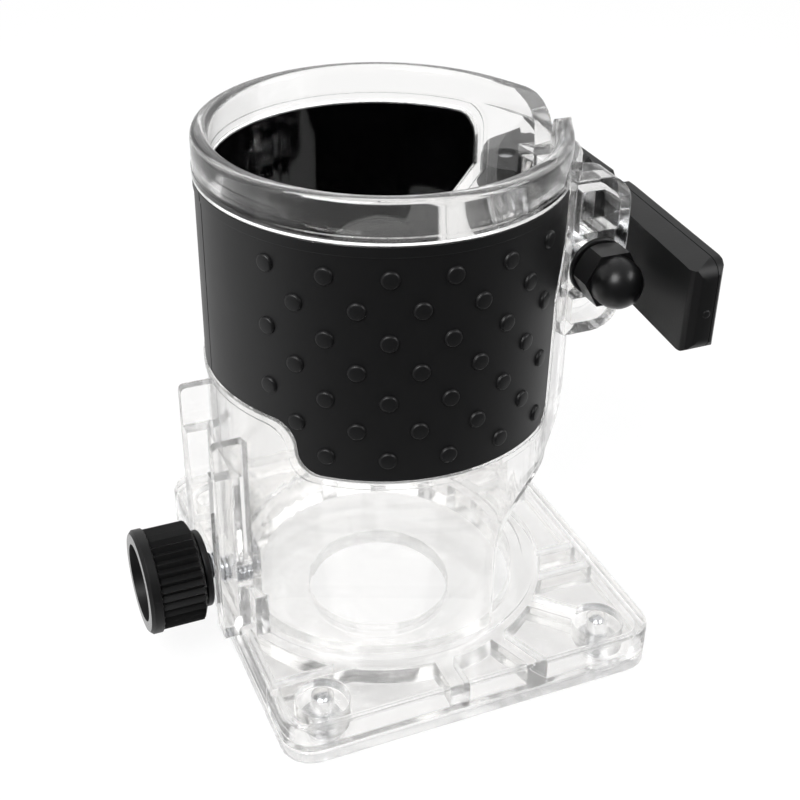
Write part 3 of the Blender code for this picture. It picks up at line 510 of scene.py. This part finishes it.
class ROUTERBASE_OT_grips(bpy.types.Operator):
    """Rubber grips with their raised dots"""

    bl_idname = "routerbase.grips"
    bl_label = "Grips"

    def execute(self, context):
        values = settings(context).grips
        rubber = grained(
            "black_rubber_grain", values.colour, roughness=0.44, spread=0.10, scale=2600.0, bump=0.25, specular=0.30)
        back = self.bond()
        for node, side in (("front_grip", -1), ("rear_grip", 1)):
            sheet = dressed(node, rubber, bevel=0.25 * MM, segments=2, angle=60.0, plain=False)
            self.bordered(sheet, values)
            self.bonded(sheet, back)
            self.rounded(sheet)
            self.dots(node + "_dots", side, values, rubber)
        return {"FINISHED"}

    def bordered(self, sheet, values):
        """Sinks the outer face below a raised border along the top edge."""
        only(sheet)
        bpy.ops.object.mode_set(mode="EDIT")
        for drop in (values.border, values.border + values.field):
            bpy.ops.mesh.select_all(action="SELECT")
            bpy.ops.mesh.bisect(plane_co=(0, 0, GRIP_HIGH.z - drop), plane_no=(0, 0, 1))
        bpy.ops.object.mode_set(mode="OBJECT")
        foot = GRIP_HIGH.z - values.border - 0.9 * values.field
        shrink = (GRIP_RADIUS - values.field) / GRIP_RADIUS
        drawn_in(sheet, (shrink, shrink, 1), (COLLAR_X, 0, 0),
                 lambda place: self.outer(place) and place.z < foot)

    def outer(self, place):
        """Whether a place is on the outer half of a sheet."""
        return math.hypot(place.x - COLLAR_X, place.y) > GRIP_MIDDLE

    def bond(self):
        """Rubber behind clear plastic, where no air lets it shine."""
        made, _, shader = material("black_rubber_bond")
        shader.inputs["Base Color"].default_value = (0.0012, 0.0012, 0.0013, 1)
        shader.inputs["Roughness"].default_value = 0.6
        shader.inputs["Specular IOR Level"].default_value = 0.0
        return made

    def bonded(self, sheet, back):
        """Sinks the sheet's back a little into the clear wall, as rubber moulded on to it."""
        only(sheet)
        sheet.data.materials.append(back)
        for face in sheet.data.polygons:
            out = Vector((face.center.x - COLLAR_X, face.center.y, 0))
            face.material_index = int(out.normalized().dot(face.normal) < -0.9)
        inner = GRIP_RADIUS - GRIP_THICKNESS
        shrink = (inner - BOND_SINK) / inner
        drawn_in(sheet, (shrink, shrink, 1), (COLLAR_X, 0, 0), lambda place: not self.outer(place))

    def rounded(self, sheet):
        """Gives the curved faces the normals of a true cylinder."""
        normals = []
        for face in sheet.data.polygons:
            for corner in face.loop_indices:
                place = sheet.data.vertices[sheet.data.loops[corner].vertex_index].co
                out = Vector((place.x - COLLAR_X, place.y, 0)).normalized()
                lean = out.dot(face.normal)
                normals.append(out * math.copysign(1, lean) if abs(lean) > 0.97 else Vector())
        sheet.data.normals_split_custom_set(normals)

    def dots(self, name, side, values, rubber):
        """Rows of raised dots on one grip, joined to one piece."""
        profile = [(lift * values.dot_height, scale) for lift, scale in DOT_PROFILE]
        pattern = raised(DOT_SIDES, values.dot_radius, profile)
        copies = []
        for row in range(values.rows):
            odd = row % 2
            for column in range(values.dots - odd):
                if row == values.rows - 1 and column == 0:
                    continue
                turn = values.first_turn - values.turn_step * (column + 0.5 * odd)
                height = values.top_row - values.row_step * row
                angle = side * turn
                out = Vector((math.cos(angle), math.sin(angle), 0))
                along = Vector((0, 0, 1)).cross(out)
                foot = out * (GRIP_RADIUS - values.field - DOT_SINK) + Vector((COLLAR_X, 0, height))
                place = Matrix.Translation(foot) @ Matrix((along, Vector((0, 0, 1)), out)).transposed().to_4x4()
                copy = bpy.data.objects.new(name, pattern.data.copy())
                copy.data.transform(place)
                bpy.context.scene.collection.objects.link(copy)
                copies.append(copy)
        bpy.data.objects.remove(pattern, do_unlink=True)
        deselect()
        for copy in copies:
            copy.select_set(True)
        bpy.context.view_layer.objects.active = copies[0]
        bpy.ops.object.join()
        made = bpy.context.object
        made.name = name
        made.data.materials.clear()
        made.data.materials.append(rubber)
        bpy.ops.object.shade_smooth_by_angle(angle=math.radians(60))
        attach(made, "base")


class ROUTERBASE_OT_clamp(bpy.types.Operator):
    """Cam lever, bolt, pin, washers and cap nut"""

    bl_idname = "routerbase.clamp"
    bl_label = "Clamp"

    def execute(self, context):
        values = settings(context).black
        black = satin_black(values)
        oxide = grained(
            "black_oxide", values.oxide, roughness=0.33, spread=0.12, scale=1200.0, bump=0.10,
            metallic=0.3, specular=0.4)
        steel = bright_steel(values)
        dressed("clamp_lever", black, bevel=0.5 * MM, segments=3, angle=30.0, smooth=40.0, detail=self.parting)
        self.gate(black)
        for node in ("cap_nut", "nut_washer"):
            dressed(node, oxide, bevel=0.2 * MM, segments=2, angle=25.0)
        for node in ("lever_pin", "cam_washer"):
            dressed(node, steel, bevel=0.15 * MM, segments=2, angle=40.0)
        dressed("clamp_bolt", steel, bevel=0.15 * MM, segments=2, angle=40.0, detail=self.bolt_thread)
        return {"FINISHED"}

    def bolt_thread(self, made):
        low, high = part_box("clamp_bolt")
        middle = (low + high) / 2
        crested(made, 1, low.y + 1.0 * MM, low.y + 31.0 * MM, middle)

    def parting(self, made):
        """Scores the mould's parting line round the handle, near its outer face."""
        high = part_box("clamp_lever")[1]
        only(made)
        bpy.ops.object.mode_set(mode="EDIT")
        bpy.ops.mesh.select_mode(type="FACE")
        bpy.ops.mesh.select_all(action="DESELECT")
        bpy.ops.object.mode_set(mode="OBJECT")
        for face in made.data.polygons:
            face.select = face.center.y < 2.0 * MM
        bpy.ops.object.mode_set(mode="EDIT")
        bpy.ops.mesh.bisect(plane_co=(high.x - 2.1 * MM, 1.0 * MM, 0), plane_no=(0.998, -0.058, 0))
        bpy.ops.mesh.bevel(offset=0.14 * MM, segments=1, affect="EDGES", clamp_overlap=True)
        bpy.ops.mesh.inset(thickness=0.05 * MM, depth=-0.12 * MM)
        bpy.ops.object.mode_set(mode="OBJECT")

    def gate(self, black):
        """The small nub that the mould's gate leaves on the handle's end."""
        low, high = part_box("clamp_lever")
        made = raised(GATE_SIDES, GATE_RADIUS, GATE_PROFILE)
        made.name = "lever_gate_nub"
        place = Vector((high.x - 5.9 * MM, low.y + 0.05 * MM, low.z + 9.0 * MM))
        made.data.transform(Matrix.Translation(place) @ Matrix.Rotation(math.radians(90), 4, "X"))
        made.data.materials.append(black)
        bpy.ops.object.shade_smooth_by_angle(angle=math.radians(50))
        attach(made, "lever")


class ROUTERBASE_OT_thumbscrew(bpy.types.Operator):
    """Guide knob, its washer and its stud"""

    bl_idname = "routerbase.thumbscrew"
    bl_label = "Thumbscrew"

    def execute(self, context):
        values = settings(context).black
        black = satin_black(values)
        dressed("guide_knob", black, bevel=0.14 * MM, segments=2, angle=30.0, smooth=50.0, detail=self.rim)
        dressed("guide_washer", black, bevel=0.2 * MM, segments=2, angle=25.0)
        steel = bright_steel(values)
        dressed("guide_stud", steel, bevel=0.1 * MM, segments=1, angle=25.0, detail=self.stud_thread)
        return {"FINISHED"}

    def rim(self, made):
        """Gives the knob's outer face a painted highlight: a lighter colour, full sheen and lower roughness than the
        rest of the moulding.
        """
        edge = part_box("guide_knob")[0].x
        # Painted highlight: the outer rim's faces that face -X get a lighter black and full specular.
        painted_rim_highlight = grained(
            "black_rim_painted_highlight", (0.02, 0.02, 0.02), roughness=0.22, spread=0.08, scale=1800.0, bump=0.1,
            specular=1.0)
        made.data.materials.append(painted_rim_highlight)
        for face in made.data.polygons:
            face.material_index = int(face.normal.x < -0.9 and face.center.x < edge + 0.4 * MM)

    def stud_thread(self, made):
        low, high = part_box("guide_stud")
        crested(made, 0, low.x + 1.0 * MM, high.x - 1.0 * MM, (low + high) / 2)


class ROUTERBASE_OT_screws(bpy.types.Operator):
    """Sub-base screws"""

    bl_idname = "routerbase.screws"
    bl_label = "Screws"

    def execute(self, context):
        values = settings(context).black
        steel = bright_steel(values)
        for number in range(1, 5):
            node = f"base_screw_{number}"
            low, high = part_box(node)
            made = dressed(node, steel, bevel=0.08 * MM, segments=1, angle=40.0)
            crested(made, 2, high.z - 5.0 * MM, high.z - 0.5 * MM, (low + high) / 2)
        return {"FINISHED"}


class RouterBaseSettings(bpy.types.PropertyGroup):
    """All sizes and colours of the base's looks."""

    clear: PointerProperty(type=ClearSettings)
    grips: PointerProperty(type=GripSettings)
    black: PointerProperty(type=BlackSettings)
    stage: PointerProperty(type=StageSettings)


OPERATORS = (
    ROUTERBASE_OT_stage,
    ROUTERBASE_OT_clear_mouldings,
    ROUTERBASE_OT_grips,
    ROUTERBASE_OT_clamp,
    ROUTERBASE_OT_thumbscrew,
    ROUTERBASE_OT_screws,
)


class ROUTERBASE_PT_panel(bpy.types.Panel):
    """Lists the base's pieces"""

    bl_idname = "ROUTERBASE_PT_panel"
    bl_label = "Router base"
    bl_space_type = "VIEW_3D"
    bl_region_type = "UI"
    bl_category = "Router base"

    def draw(self, context):
        for operator in OPERATORS:
            self.layout.operator(operator.bl_idname)


CLASSES = (
    ClearSettings,
    GripSettings,
    BlackSettings,
    StageSettings,
    RouterBaseSettings,
    *OPERATORS,
    ROUTERBASE_PT_panel,
)


def register():
    for made in CLASSES:
        bpy.utils.register_class(made)
    bpy.types.Scene.router_base = PointerProperty(type=RouterBaseSettings)


def unregister():
    del bpy.types.Scene.router_base
    for made in reversed(CLASSES):
        bpy.utils.unregister_class(made)


def main():
    register()
    bpy.ops.routerbase.stage()
    bpy.ops.routerbase.clear_mouldings()
    bpy.ops.routerbase.grips()
    bpy.ops.routerbase.clamp()
    bpy.ops.routerbase.thumbscrew()
    bpy.ops.routerbase.screws()


if __name__ == "__main__":
    main()
